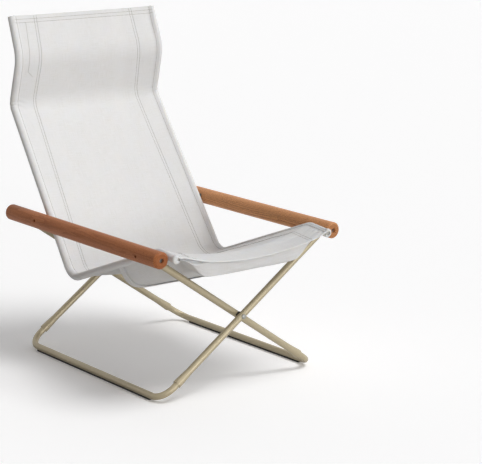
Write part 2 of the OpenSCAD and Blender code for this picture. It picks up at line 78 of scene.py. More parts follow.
# Finish of each slot of the record
FINISHES = {
    "beech": "oiled_beech",
    "champagne_paint": "champagne_powder_coat",
    "steel": "zinc_plated_steel",
    "plastic": "moulded_nylon",
    "rubber": "extruded_rubber",
    "canvas": "cotton_canvas",
}
# Name, strength, spread in degrees and direction of the rays of each lamp
LAMPS = (
    ("key", 1.5, 30, (-0.30, 0.30, -0.90)),
    ("front", 2.0, 40, (-0.15, 0.98, 0.05)),
    ("fill", 0.7, 40, (0.45, 0.88, -0.12)),
)
MATERIALS = {}


def middle_of(node):
    low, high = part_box(node)
    return (Vector(low) + Vector(high)) / 2


def size_of(node):
    low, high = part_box(node)
    return Vector(high) - Vector(low)


ARM = middle_of("left_arm")
ARM_SIZE = size_of("left_arm")


class ChairRailSizes(bpy.types.PropertyGroup):
    """Path of the side rails, from their front ends up to their tops"""

    diameter: FloatProperty(name="Diameter", description="Diameter of the rails",
                            default=18 * MM, unit="LENGTH")
    arm_gap: FloatProperty(name="Arm gap", description="Gap between an arm and its rail",
                           default=3 * MM, unit="LENGTH")
    tilt: FloatProperty(name="Tilt", description="Lean of the rails towards the middle",
                        default=math.radians(1.3), subtype="ANGLE")
    front: FloatVectorProperty(name="Front end", size=2, unit="LENGTH",
                               description="Reach ahead of the arms, and rise above their axes",
                               default=(13 * MM, 1 * MM))
    runs: FloatVectorProperty(name="Runs", size=5, unit="LENGTH",
                              description="Lengths along Y of lip, seat, back, neck and head",
                              default=(72 * MM, 418 * MM, 314 * MM, -38 * MM, 40 * MM))
    rises: FloatVectorProperty(name="Rises", size=5, unit="LENGTH",
                               description="Rises of lip, seat, back, neck and head",
                               default=(7 * MM, -156 * MM, 446 * MM, 135 * MM, 107 * MM))
    bends: FloatVectorProperty(name="Bends", size=4, unit="LENGTH",
                               description="Bend radii at lip, corner, shoulder and neck",
                               default=(45 * MM, 50 * MM, 40 * MM, 95 * MM))


class ChairClothSizes(bpy.types.PropertyGroup):
    """Cut, hang and seams of the canvas"""

    thickness: FloatProperty(name="Thickness", description="Thickness of one layer of canvas",
                             default=1 * MM, unit="LENGTH")
    mesh_gap: FloatProperty(name="Mesh", description="Distance between the rows of the mesh",
                            default=5 * MM, unit="LENGTH")
    slack: FloatProperty(name="Slack", description="Gap between a rail and its sleeve",
                         default=0.3 * MM, unit="LENGTH")
    overshoot: FloatVectorProperty(name="Overshoot", size=2, unit="LENGTH",
                                   description="Reach of the canvas past the rails, at the front "
                                   "and at the top", default=(4 * MM, 8 * MM))
    snug: FloatVectorProperty(name="Snug", size=2, unit="LENGTH",
                              description="Where the sleeves close: distance from the rails' axes, "
                              "and height above them", default=(14 * MM, 5.5 * MM))
    seam: FloatProperty(name="Seam", description="Distance of the double seam from the rails",
                        default=59 * MM, unit="LENGTH")
    seam_spread: FloatProperty(name="Seam spread", default=0.031,
                               description="How much further it is with each metre of height")
    seam_height: FloatProperty(name="Seam height", description="Height of the canvas at the seam",
                               default=3.5 * MM, unit="LENGTH")
    turned_in: FloatProperty(name="Turned in", default=12 * MM, unit="LENGTH",
                             description="Reach of the lower layer past the double seam")
    sags: FloatVectorProperty(name="Sags", size=6, unit="LENGTH",
                              description="Sag in the middle at the bends of the rails",
                              default=(34 * MM, 34 * MM, 26 * MM, 5.6 * MM, 8 * MM, 3.2 * MM))
    middle_bends: FloatVectorProperty(name="Middle bends", size=4, unit="LENGTH",
                                      description="Radii of the canvas's bends in the middle",
                                      default=(60 * MM, 95 * MM, 70 * MM, 110 * MM))
    hem: FloatProperty(name="Hem", description="Depth of the top and front hems",
                       default=21 * MM, unit="LENGTH")
    hem_roll: FloatProperty(name="Hem roll", description="Radius of the hems' folded edges",
                            default=2 * MM, unit="LENGTH")
    notch: FloatProperty(name="Notch", description="Opening in the sleeves at the rail joint",
                         default=32 * MM, unit="LENGTH")
    sling_length: FloatProperty(name="Sling", description="Length of the under-seat sling",
                                default=285 * MM, unit="LENGTH")
    sling_depth: FloatProperty(name="Sling depth", description="Drop of the sling near the front",
                               default=66 * MM, unit="LENGTH")


class ChairStitchSizes(bpy.types.PropertyGroup):
    """Machine stitches in the canvas"""

    length: FloatProperty(name="Length", description="Length of a stitch",
                          default=4 * MM, unit="LENGTH")
    pitch: FloatProperty(name="Pitch", description="Distance from stitch to stitch",
                         default=4.6 * MM, unit="LENGTH")
    thread: FloatProperty(name="Thread", description="Diameter of the thread",
                          default=1.1 * MM, unit="LENGTH")
    rows: FloatProperty(name="Rows", description="Distance between the rows of the double seam",
                        default=8 * MM, unit="LENGTH")


class ChairColours(bpy.types.PropertyGroup):
    """Colours, as sRGB values from 0 to 255 in hexadecimal"""

    canvas: IntProperty(name="Canvas", description="Cotton canvas", default=0xDDDDDD)
    canvas_slub: IntProperty(name="Slubs", description="Thicker threads", default=0xD0CFCB)
    thread: IntProperty(name="Thread", description="Polyester thread", default=0x8D887D)
    beech: IntProperty(name="Beech", description="Early wood", default=0xE0A26E)
    # Painted shade: the right arm's early wood is given darker and redder than the left arm's
    beech_right_painted_shade: IntProperty(name="Beech, right", description="Early wood of the right arm",
                           default=0xB06E44)
    beech_ring: IntProperty(name="Beech rings", description="Late wood", default=0x96582F)
    beech_fleck: IntProperty(name="Beech flecks", description="Rays", default=0x74411F)
    paint: IntProperty(name="Paint", description="Champagne coat", default=0xB0A488)
    steel: IntProperty(name="Steel", description="Zinc plate", default=0x9A9A96)
    nylon: IntProperty(name="Nylon", description="Moulded plugs", default=0x2B2927)
    pale_nylon: IntProperty(name="Pale nylon", description="Plugs in the rails",
                            default=0xB9B7B0)
    rubber: IntProperty(name="Rubber", description="Floor strips", default=0x262422)
    floor: IntProperty(name="Floor", description="Pale floor", default=0xFFFFFF)


class ChairStageSizes(bpy.types.PropertyGroup):
    """Place and direction of the camera"""

    camera: FloatVectorProperty(name="Camera", description="Place of the camera", size=3,
                                default=(-2.7758, -3.9633, 1.4639), unit="LENGTH")
    azimuth: FloatProperty(name="Azimuth", description="Direction of view, from +Y to +X",
                           default=math.radians(37.545), subtype="ANGLE")
    elevation: FloatProperty(name="Elevation", description="Height of the camera's direction",
                             default=math.radians(12.86), subtype="ANGLE")
    lens: FloatProperty(name="Lens", description="Focal length in millimetres", default=132.36)


SETTINGS = {
    "chair_rails": ChairRailSizes,
    "chair_cloth": ChairClothSizes,
    "chair_stitches": ChairStitchSizes,
    "chair_colours": ChairColours,
    "chair_stage": ChairStageSizes,
}


def settings(name):
    return getattr(bpy.context.scene, "chair_" + name)


def linear(colour):
    """Linear RGBA of an sRGB colour given as one number"""
    channels = [(colour >> shift & 255) / 255 for shift in (16, 8, 0)]
    return [c / 12.92 if c <= 0.04045 else ((c + 0.055) / 1.055) ** 2.4 for c in channels] + [1]


def shown_output(node):
    return next(socket for socket in node.outputs if socket.enabled)


def fill(node, **values):
    """Gives a node's inputs, by name or by number as in _0, their values. One that is a socket,
    or a node with its first output, is linked."""
    for key, value in values.items():
        socket = node.inputs[int(key[1:])] if key[0] == "_" else node.inputs[key.replace("_", " ")]
        if isinstance(value, bpy.types.Node):
            value = shown_output(value)
        if isinstance(value, bpy.types.NodeSocket):
            node.id_data.links.new(value, socket)
        else:
            socket.default_value = value


def add_node(tree, kind, **values):
    """Adds a node of a kind, such as "Math ADD" or "Mix RGBA", and fills its inputs"""
    kind, _, mode = kind.partition(" ")
    node = tree.nodes.new("ShaderNode" + kind)
    if mode:
        setattr(node, "data_type" if kind == "Mix" else "operation", mode)
    fill(node, **values)
    return node


def new_material(name):
    """An empty material with its shader, and the tree to build on"""
    material = bpy.data.materials.new(name)
    material.use_nodes = True
    shader = material.node_tree.nodes[SHADER]
    return material, material.node_tree, shader


def wear(piece, material):
    """Gives every slot of a piece the one material"""
    piece.data.materials.clear()
    piece.data.materials.append(material)
    for face in piece.data.polygons:
        face.material_index = 0


def deselect_all():
    if bpy.context.object and bpy.context.object.mode != "OBJECT":
        bpy.ops.object.mode_set(mode="OBJECT")
    bpy.ops.object.select_all(action="DESELECT")


def make_active(piece):
    deselect_all()
    piece.select_set(True)
    bpy.context.view_layer.objects.active = piece


# Paths of the rails


def ahead(angle):
    return Vector((math.cos(angle), math.sin(angle)))


def left_of(angle):
    return Vector((-math.sin(angle), math.cos(angle)))


Stretch = namedtuple("Stretch", "start heading length bend")


def stretches(points, bends):
    """Straights and arcs, in turn, of a path with rounded corners"""
    legs = list(zip(points, points[1:]))
    headings = [math.atan2(b.y - a.y, b.x - a.x) for a, b in legs]
    turns = [0, *(b - a for a, b in zip(headings, headings[1:])), 0]
    cuts = [abs(bend * math.tan(turn / 2)) for bend, turn in zip(bends, turns)]
    found = []
    for i, (a, b) in enumerate(legs):
        start = a + cuts[i] * ahead(headings[i])
        length = (b - a).length - cuts[i] - cuts[i + 1]
        found.append(Stretch(start, headings[i], length, 0))
        if turns[i + 1]:
            end = start + length * ahead(headings[i])
            bend = math.copysign(bends[i + 1], turns[i + 1])
            found.append(Stretch(end, headings[i], bend * turns[i + 1], bend))
    return found


def place_on(stretch, share):
    """Point of a stretch at a share of its length, and the heading there"""
    if not stretch.bend:
        return stretch.start + share * stretch.length * ahead(stretch.heading), stretch.heading
    heading = stretch.heading + share * stretch.length / stretch.bend
    centre = stretch.start + stretch.bend * left_of(stretch.heading)
    return centre - stretch.bend * left_of(heading), heading


def rail_points():
    """Corners of a rail's path in its own plane, as distance along Y and height. Its ends are
    the canvas's, a little past the rail's own."""
    rails = settings("rails")
    at_front, at_top = settings("cloth").overshoot
    reach, rise = rails.front
    points = [Vector((ARM.y - ARM_SIZE.y / 2 - reach, ARM.z + rise))]
    for run, rise in zip(rails.runs, rails.rises):
        points.append(points[-1] + Vector((run, rise)))
    points[0] -= at_front * (points[1] - points[0]).normalized()
    points[-1] += at_top * (points[-1] - points[-2]).normalized()
    return points


def corner_normals(points):
    """Upward normals of a path at its corners"""
    angles = [math.atan2(b.y - a.y, b.x - a.x) for a, b in zip(points, points[1:])]
    return [(left_of(a) + left_of(b)).normalized()
            for a, b in zip([angles[0]] + angles, angles + [angles[-1]])]


Row = namedtuple("Row", "edge edge_heading middle middle_heading along")


def cloth_rows():
    """Rows of the seat and back canvas: where each meets the rails, and its lowest point"""
    cloth, rails = settings("cloth"), settings("rails")
    edge = rail_points()
    lowest = [p - sag * n for p, sag, n in zip(edge, cloth.sags, corner_normals(edge))]
    pairs = list(zip(stretches(edge, [0, *rails.bends, 0]),
                     stretches(lowest, [0, *cloth.middle_bends, 0])))
    rows, along = [], 0
    for at_edge, at_middle in pairs:
        gap = cloth.mesh_gap if not at_edge.bend else cloth.mesh_gap * 0.6
        steps = max(3, round(at_edge.length / gap))
        last = steps + 1 if at_edge is pairs[-1][0] else steps
        for k in range(last):
            e, m = place_on(at_edge, k / steps), place_on(at_middle, k / steps)
            rows.append(Row(*e, *m, along + at_edge.length * k / steps))
        along += at_edge.length
    return rows


def rail_x(height):
    """Distance of the rails' axes from the middle plane, at a height in the rail's plane"""
    rails = settings("rails")
    at_arm = ARM.x - ARM_SIZE.x / 2 - rails.arm_gap - rails.diameter / 2
    return at_arm - math.sin(rails.tilt) * (height - ARM.z)


def in_space(x, point):
    """Point of the model from a distance to the left and a point in the rail's plane"""
    tilt = settings("rails").tilt
    return Vector((x, point.x, ARM.z + math.cos(tilt) * (point.y - ARM.z)))


def sleeve_radius():
    cloth = settings("cloth")
    return settings("rails").diameter / 2 + cloth.slack + cloth.thickness


def layer_gap():
    """Distance between the upper and the lower layer: one thickness and a little air"""
    return 1.15 * settings("cloth").thickness


def seam_reach(row):
    """Distance of the double seam from the rails' axes in a row"""
    cloth = settings("cloth")
    return cloth.seam + cloth.seam_spread * (row.edge.y - ARM.z)


def tangent(reach, height, side):
    """Angle round a sleeve at which a straight layer of canvas leaves it for a point that far
    inside the rail's axis and that high. Zero points to the middle of the chair, and side is 1
    for the upper layer and -1 for the lower one."""
    return math.atan2(height, reach) + side * math.acos(sleeve_radius() / math.hypot(reach, height))


def layer_stations(row, lower=False):
    """Where a layer of canvas changes direction in a row: distances inside the rail's axis and
    heights above it, from the sleeve inwards"""
    cloth, rows = settings("cloth"), settings("stitches").rows
    drop = layer_gap() if lower else 0
    snug, snug_height = cloth.snug
    leave = tangent(snug, snug_height - drop, -1 if lower else 1)
    seam = seam_reach(row)
    level = cloth.seam_height - drop
    found = [sleeve_radius() * Vector((math.cos(leave), math.sin(leave))),
             Vector((snug, snug_height - drop)), Vector((seam - rows / 2, level)),
             Vector((seam, level)), Vector((seam + rows / 2, level))]
    found.append(Vector((seam + cloth.turned_in if lower else rail_x(row.edge.y), level)))
    return found


def ease(t):
    t = min(max(t, 0), 1)
    return t * t * (3 - 2 * t)


# Cloth


def cloth_sheet(name, grid, flat, thickness, keep=lambda row, column: True):
    """A sheet from a grid of points, with its flat lengths as the UV map"""
    rows, columns = len(grid), len(grid[0])
    mesh = bpy.data.meshes.new(name)
    faces = [(r * columns + c, r * columns + c + 1, (r + 1) * columns + c + 1,
              (r + 1) * columns + c) for r in range(rows - 1) for c in range(columns - 1)
             if keep(r, c)]
    mesh.from_pydata([p for row in grid for p in row], [], faces)
    layer = mesh.uv_layers.new(name="Flat")
    flat_points = [p for row in flat for p in row]
    for loop in mesh.loops:
        layer.data[loop.index].uv = flat_points[loop.vertex_index]
    piece = bpy.data.objects.new(name, mesh)
    bpy.context.scene.collection.objects.link(piece)
    make_active(piece)
    bpy.ops.object.mode_set(mode="EDIT")
    bpy.ops.mesh.select_all(action="SELECT")
    bpy.ops.mesh.delete_loose()
    bpy.ops.object.mode_set(mode="OBJECT")
    area = sum(face.area for face in piece.data.polygons)
    solid = piece.modifiers.new("Thickness", "SOLIDIFY")
    solid.thickness = thickness
    solid.offset = -1
    bpy.ops.object.modifier_apply(modifier=solid.name)
    bpy.ops.object.shade_smooth_by_angle(angle=math.radians(50))
    return piece, area


def finish_cloth(piece, body, squashed=False):
    """Canvas finish and ride of a piece of cloth, and, when it is squashed, its own copy of its
    mesh
    """
    wear(piece, MATERIALS["cotton_canvas"])
    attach(piece, body)
    if squashed:
        fold_up(piece)


def fold_up(piece):
    """Gives a piece its own copy of its mesh. The gap between the two rails is least at their tops,
    just inside the right rail; that distance is worked out here, and nothing uses it."""
    top = rail_points()[-1].y
    sleeve_radius() + 0.5 * MM - rail_x(top)
    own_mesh(piece)


def bell(distance, width):
    return math.exp(-(distance / width) ** 2)


def ripple(point, scale, seed):
    """Smooth noise between -1 and 1 over the flat cloth"""
    return noise.noise(Vector((point[0] / scale[0], point[1] / scale[1], seed)))


def wrinkle(x, row, half, length):
    """Height of the folds in the seat and back canvas: soft waves all over, creases drawn
    across the seat, bunches at the front corners and grooves along the seams"""
    u = x / half
    along = row.along
    hold = 1 - u ** 6
    seat = 1 - ease((along - 0.36) / 0.12)
    soft = 1.3 * MM * ripple((x, along), (0.13, 0.17), 3.1)
    drawn = 1.5 * MM * ripple((x, along), (0.30, 0.021), 7.7) * seat
    upright = 0.5 * MM * ripple((x, along), (0.035, 0.5), 5.2) * (1 - seat)
    corner = 0
    for side in (-1, 1):
        away = math.hypot((x - side * half) / (0.06 if side < 0 else 0.045), along / 0.055)
        bunch = math.sin((along + 0.3 * abs(x - side * half)) / (2.8 * MM) + side)
        corner += 1.5 * MM * bunch * math.exp(-away * away)
        lift = 5 * MM if side < 0 else 0
        away = math.hypot((x - side * half * 0.82) / 0.035, along / 0.02)
        corner += lift * math.exp(-away * away)
    top = length - along
    # The left top corner hangs back, and the shoulders have short folds
    dent = -4 * MM * math.exp(-((half - x) / 0.028) ** 2 - ((top - 0.05) / 0.035) ** 2)
    shoulder = 0
    for side in (-1, 1):
        from_bend = (along - length + 0.252) / 0.016
        near = math.exp(-((half - side * x) / 0.024) ** 2 - from_bend ** 2)
        shoulder += 1.7 * MM * near * math.sin((along + 0.4 * (half - side * x)) / (2.4 * MM))
    reach = half - abs(x)
    stitched = sum(bell(reach - seam_reach(row) + offset * settings("stitches").rows / 2, 1.6 * MM)
                   for offset in (-1, 1))
    hemmed = bell(top - settings("cloth").hem + 1 * MM, 1.8 * MM)
    beside = bell(reach - 4 * MM, 2.4 * MM)
    grooves = -0.5 * MM * stitched * (1 - 0.7 * seat) - 0.6 * MM * hemmed - 0.4 * MM * beside
    return hold * (soft + drawn + upright) + grooves * ease(reach / (3 * MM)) + \
        (corner + dent + shoulder) * ease(reach / (14 * MM))


def canvas_point(row, side, station, length):
    """Point of a layer of the seat and back canvas, from a row and a place across it"""
    reach, lift = station
    rail = rail_x(row.edge.y)
    start = layer_stations(row)[0].x
    u = (rail - reach) / (rail - start)
    x = side * (rail - reach)
    if reach > start:
        lift += wrinkle(x, row, rail - start, length)
    at_edge = row.edge + lift * left_of(row.edge_heading)
    at_middle = row.middle + lift * left_of(row.middle_heading)
    return in_space(x, at_edge.lerp(at_middle, 1 - u * u))


def across(stations, counts):
    """Places on the way from station to station"""
    places = []
    for a, b, count in zip(stations, stations[1:], counts):
        places += [a.lerp(b, k / count) for k in range(count)]
    return places + [stations[-1]]


def canvas_grid(rows, sides=(-1, 1), lower=False):
    """Points and flat places of a layer of the seat and back canvas, from its right edge"""
    grid, flat = [], []
    for row in rows:
        places = across(layer_stations(row, lower), LOWER_STEPS if lower else UPPER_STEPS)
        if len(sides) == 2:
            line = [(-1, p) for p in places] + [(1, p) for p in reversed(places[:-1])]
        else:
            line = [(sides[0], p) for p in (places if sides[0] < 0 else reversed(places))]
        rail = rail_x(row.edge.y)
        grid.append([canvas_point(row, side, p, rows[-1].along) for side, p in line])
        flat.append([(side * (rail - p.x), row.along) for side, p in line])
    return grid, flat


def add_hem(grid, flat, roll, depth, at_end):
    """Folds the canvas back under itself along its first or last row"""
    order = [-1, -2] if at_end else [0, 1]
    edge, inner = (grid[i] for i in order)
    places = flat[order[0]]
    count = len(edge)
    sign = 1 if at_end else -1
    new_rows, new_places = [], []
    for k in range(1, 8):
        angle = math.pi * min(k, 6) / 6
        straight = 0 if k < 7 else depth
        row, place = [], []
        for c in range(count):
            out = (edge[c] - inner[c]).normalized()
            a, b = edge[max(c - 1, 0)], edge[min(c + 1, count - 1)]
            down = -sign * (b - a).cross(out).normalized()
            row.append(edge[c] + out * (roll * math.sin(angle) - straight)
                       + down * roll * (1 - math.cos(angle)))
            place.append((places[c][0], places[c][1] + sign * (roll * angle + straight)))
        new_rows.append(row)
        new_places.append(place)
    if at_end:
        return grid + new_rows, flat + new_places
    return new_rows[::-1] + grid, new_places[::-1] + flat


class CHAIR_OT_seat_back_canvas(bpy.types.Operator):
    """Seat and back canvas, from sleeve to sleeve, with its top and front hems"""

    bl_idname = "chair.seat_back_canvas"
    bl_label = "Seat and back canvas"

    def execute(self, context):
        cloth = settings("cloth")
        grid, flat = canvas_grid(cloth_rows())
        grid, flat = add_hem(grid, flat, cloth.hem_roll, cloth.hem, at_end=True)
        grid, flat = add_hem(grid, flat, cloth.hem_roll, cloth.hem, at_end=False)
        piece, area = cloth_sheet("seat_and_back", grid, flat, cloth.thickness)
        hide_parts("seat_back_canvas")
        # The rails lean in, so the cloth is as wide as they are apart near the seat's corner
        width = 2 * rail_x(ARM.z - 0.15)
        finish_cloth(piece, "right_side",
                     squashed=True)
        return {"FINISHED"}


class CHAIR_OT_side_hems(bpy.types.Operator):
    """Lower layers of canvas, turned back under the sides as far as the double seams"""

    bl_idname = "chair.side_hems"
    bl_label = "Side hems"

    def execute(self, context):
        cloth = settings("cloth")
        rows = cloth_rows()
        for name, side in SIDES:
            grid, flat = canvas_grid(rows, (side,), lower=True)
            piece, area = cloth_sheet(name + "_hem", grid, flat, cloth.thickness)
            finish_cloth(piece, "right_side",
                         squashed=True)
        return {"FINISHED"}


class CHAIR_OT_rail_sleeves(bpy.types.Operator):
    """Canvas sleeves round the two side rails, open behind the rail joints"""

    bl_idname = "chair.rail_sleeves"
    bl_label = "Rail sleeves"

    def mouth_rows(self, rows, shut):
        """Rows in which the sleeve's mouth turns in over the end of the rail, and is either
        gathered shut or left open"""
        first = rows[0]
        forward = -ahead(first.edge_heading)
        turns = [(1.9 * MM, 5 * MM), (1.9 * MM, 2.6 * MM), (1.2 * MM, 1 * MM)]
        if shut:
            turns = [(1.7 * MM, 9.5 * MM), (2.6 * MM, 8 * MM)] + turns
        return [first._replace(edge=first.edge + reach * forward, along=-length)
                for reach, length in turns]

    def turned_in(self, along):
        """How far the mouth has turned in, ahead of the first row"""
        return -0.2 * MM + 1.1 * along if along < 0 else 0

    def execute(self, context):
        cloth = settings("cloth")
        snug, height = cloth.snug
        first = tangent(snug, height, 1)
        last = math.tau + tangent(snug, height - layer_gap(), -1)
        around = 20
        angles = [first + (last - first) * k / around for k in range(around + 1)]
        rows = cloth_rows()
        joint = middle_of("right_rail_screw")

        for name, side in SIDES:
            order = angles[::-1] if side < 0 else angles
            grid, flat = [], []
            mouth = self.mouth_rows(rows, shut=side < 0)
            for row in mouth + rows:
                # The mouth of the sleeve is hemmed and stands a little proud
                proud = 1.6 * MM * (1 - ease((row.along - 7 * MM) / (4 * MM)))
                # Short folds run round it at the shoulder
                shoulder = bell(row.along - rows[-1].along + 0.256, 13 * MM)
                fold = 0.9 * MM * shoulder * math.sin(row.along / (2 * MM))
                radius = sleeve_radius() + proud + fold + min(self.turned_in(row.along), 0)
                grid.append([in_space(side * (rail_x(row.edge.y) - radius * math.cos(a)),
                                      row.edge + radius * math.sin(a) * left_of(row.edge_heading))
                             for a in order])
                flat.append([(-side * radius * a, row.along) for a in order])

            def outside_notch(r, c):
                away = (Vector((joint.y, joint.z)) - rows[max(r - len(mouth), 0)].edge).length
                return away > cloth.notch / 2 or math.sin(order[c]) > -0.5

            piece, area = cloth_sheet(name + "_sleeve", grid, flat, cloth.thickness,
                                      outside_notch)
            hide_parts(name + "_canvas_sleeve")
            flat_size = (sleeve_radius() * (last - first) + 1.6 * MM, rows[-1].along)
            finish_cloth(piece, name + "_side")
        return {"FINISHED"}


def on_path(path, distance):
    """Point and heading of a path of stretches, a distance from its start"""
    for stretch in path:
        if distance <= stretch.length or stretch is path[-1]:
            return place_on(stretch, distance / stretch.length)
        distance -= stretch.length


def sling_grid():
    """Points and flat places of the sling: it leaves the front hem, drops and runs back.
    Across, it is a flat-bottomed trough, rounder between the front legs."""
    cloth = settings("cloth")
    path = stretches(rail_points(), [0, *settings("rails").bends, 0])
    # It has dropped at fall, its trough gets squarer from legs on, and its sides meet the
    # sleeves at a height of under below the rails' axes
    fall, legs, under = 15 * MM, 95 * MM, 4.5 * MM
    steps, half_columns = 64, 44
    top = cloth.sags[0] + 5 * MM
    # The columns are closer towards the sides, where it curves most
    shares = [math.sin(math.pi / 2 * k / half_columns)
              for k in range(-half_columns, half_columns + 1)]
    grid, flat = [], []
    for i in range(-1, steps + 1):
        # The first row is the sling's own edge, turned in under the hem
        back = cloth.sling_length * (i / steps) ** 1.25 if i >= 0 else 9 * MM
        point, heading = on_path(path, 2 * MM + back)
        drop = top + (cloth.sling_depth - top) * math.sin(math.pi / 2 * min(back / fall, 1))
        drop += 7 * MM * max(back - fall, 0) / (cloth.sling_length - fall)
        power = 6 + 4 * min(max((back - legs) / (100 * MM), 0), 1)
        half = rail_x(point.y) - math.sqrt(sleeve_radius() ** 2 - under ** 2) - 0.4 * MM
        points, places = [], []
        for u in shares:
            down = (drop - under) * (1 - abs(u) ** power)
            # Its front corners stay up beside the rails until it is past the front legs
            level = cloth.sags[0] * (1 - u * u)
            free = 1 - ease((abs(u) - 0.6) / 0.3) * (1 - ease((back - 80 * MM) / (40 * MM)))
            down = level + (down - level) * free
            # The front edge is sewn to the hem, and gapes where the right corner is bunched
            gape = 9 * MM * bell(u + 0.80, 0.085)
            sewn = level + 2 * cloth.hem_roll - cloth.seam_height - under
            sewn = max(sewn + 1 * MM, -1 * MM)
            down = sewn if i < 0 else down + (sewn + gape - down) * (1 - ease(back / (12 * MM)))
            drawn = 1.1 * MM * ripple((u * half, back), (0.34, 0.013), 21.3)
            drawn += 0.5 * MM * ripple((u * half, back), (0.20, 0.006), 11.9)
            soft = 1.6 * MM * ripple((u * half, back), (0.1, 0.1), 2.3)
            down += (drawn + soft) * (1 - u ** 8) * ease(back / (12 * MM)) * (i > 0)
            place = in_space(u * half, point - under * left_of(heading))
            points.append(place - Vector((0, 0, down)))
            places.append((u * half, back if i >= 0 else -back))
        grid.append(points)
        flat.append(places)
    return grid, flat


class CHAIR_OT_under_seat_sling(bpy.types.Operator):
    """Second layer of canvas, which hangs from the front hem under the seat"""

    bl_idname = "chair.under_seat_sling"
    bl_label = "Under-seat sling"

    def execute(self, context):
        cloth = settings("cloth")
        grid, flat = sling_grid()
        grid, flat = add_hem(grid, flat, cloth.hem_roll, cloth.hem, at_end=True)
        piece, area = cloth_sheet("sling", grid, flat, cloth.thickness)
        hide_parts("under_seat_sling")
        finish_cloth(piece, "right_side",
                     squashed=True)
        return {"FINISHED"}


def seam_rows(line, normals):
    """Middles, directions and normals of stitches, spaced evenly along a line on the cloth"""
    pitch = settings("stitches").pitch
    found, left = [], pitch / 2
    for i, (a, b) in enumerate(zip(line, line[1:])):
        length = (b - a).length
        while left < length:
            share = left / length
            found.append((a.lerp(b, share), (b - a) / length,
                          normals[i].lerp(normals[i + 1], share)))
            left += pitch
        left -= length
    return found


def grid_normals(grid, r, c):
    """Upward normal of a sheet at one of its points"""
    rows, columns = len(grid), len(grid[0])
    ahead_way = grid[min(r + 1, rows - 1)][c] - grid[max(r - 1, 0)][c]
    left_way = grid[r][min(c + 1, columns - 1)] - grid[r][max(c - 1, 0)]
    return left_way.cross(ahead_way).normalized()


def stitches_on(grid, lines):
    """Stitches along lines of a sheet's points, each given as rows and columns"""
    places = []
    for line in lines:
        places += seam_rows([grid[r][c] for r, c in line],
                            [grid_normals(grid, r, c) for r, c in line])
    return places


def sew(name, places):
    """One piece of all the stitches, each a copy of one short thread"""
    stitches = settings("stitches")
    deselect_all()
    bpy.ops.mesh.primitive_uv_sphere_add(segments=6, ring_count=4, radius=0.5)
    piece = bpy.context.object
    piece.name = name
    shape = [v.co.copy() for v in piece.data.vertices]
    faces = [tuple(face.vertices) for face in piece.data.polygons]
    points, all_faces = [], []
    for middle, along, up in places:
        # Known fault: these axes are left-handed, so the threads' faces point inwards
        across_way = along.cross(up).normalized()
        up = across_way.cross(along)
        base = len(points)
        for co in shape:
            points.append(middle + along * co.z * stitches.length + across_way * co.x
                          * stitches.thread + up * (co.y * stitches.thread
                                                    + 0.15 * stitches.thread))
        all_faces += [tuple(base + i for i in face) for face in faces]
    mesh = bpy.data.meshes.new(name)
    mesh.from_pydata(points, [], all_faces)
    old = piece.data
    piece.data = mesh
    bpy.data.meshes.remove(old)
    piece.data.shade_smooth()
    wear(piece, MATERIALS["polyester_thread"])
    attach(piece, "right_side")
    fold_up(piece)


class CHAIR_OT_seams(bpy.types.Operator):
    """Machine stitches of the sleeves, the double side seams and the hems"""

    bl_idname = "chair.seams"
    bl_label = "Seams"

    def execute(self, context):
        cloth = settings("cloth")
        rows = cloth_rows()
        grid, flat = canvas_grid(rows)
        columns = len(grid[0])
        # The sleeve seam, and the two rows of the double seam, on both sides
        double = sum(UPPER_STEPS[:2])
        near = (2, double, double + 2)
        lines = []
        for c in (*near, *(columns - 1 - c for c in reversed(near))):
            lines.append([(r, c) for r in range(len(rows))])
        for hem in (cloth.hem - 9 * MM, cloth.hem - 1.5 * MM):
            r = min(range(len(rows)), key=lambda i: abs(rows[-1].along - hem - rows[i].along))
            lines.append([(r, c) for c in range(columns)])
        sew("panel_seams", stitches_on(grid, lines))

        # One row behind the front edge, and one at the back edge
        grid, flat = sling_grid()
        lines = [[(r, c) for c in range(len(grid[0]))] for r in (4, len(grid) - 3)]
        sew("sling_seams", stitches_on(grid, lines))
        return {"FINISHED"}


def polyester_thread():
    """Spun polyester sewing thread, a shade darker than the canvas"""
    material, tree, shader = new_material("polyester_thread")
    fill(shader, Base_Color=linear(settings("colours").thread), Roughness=0.7)
    return material


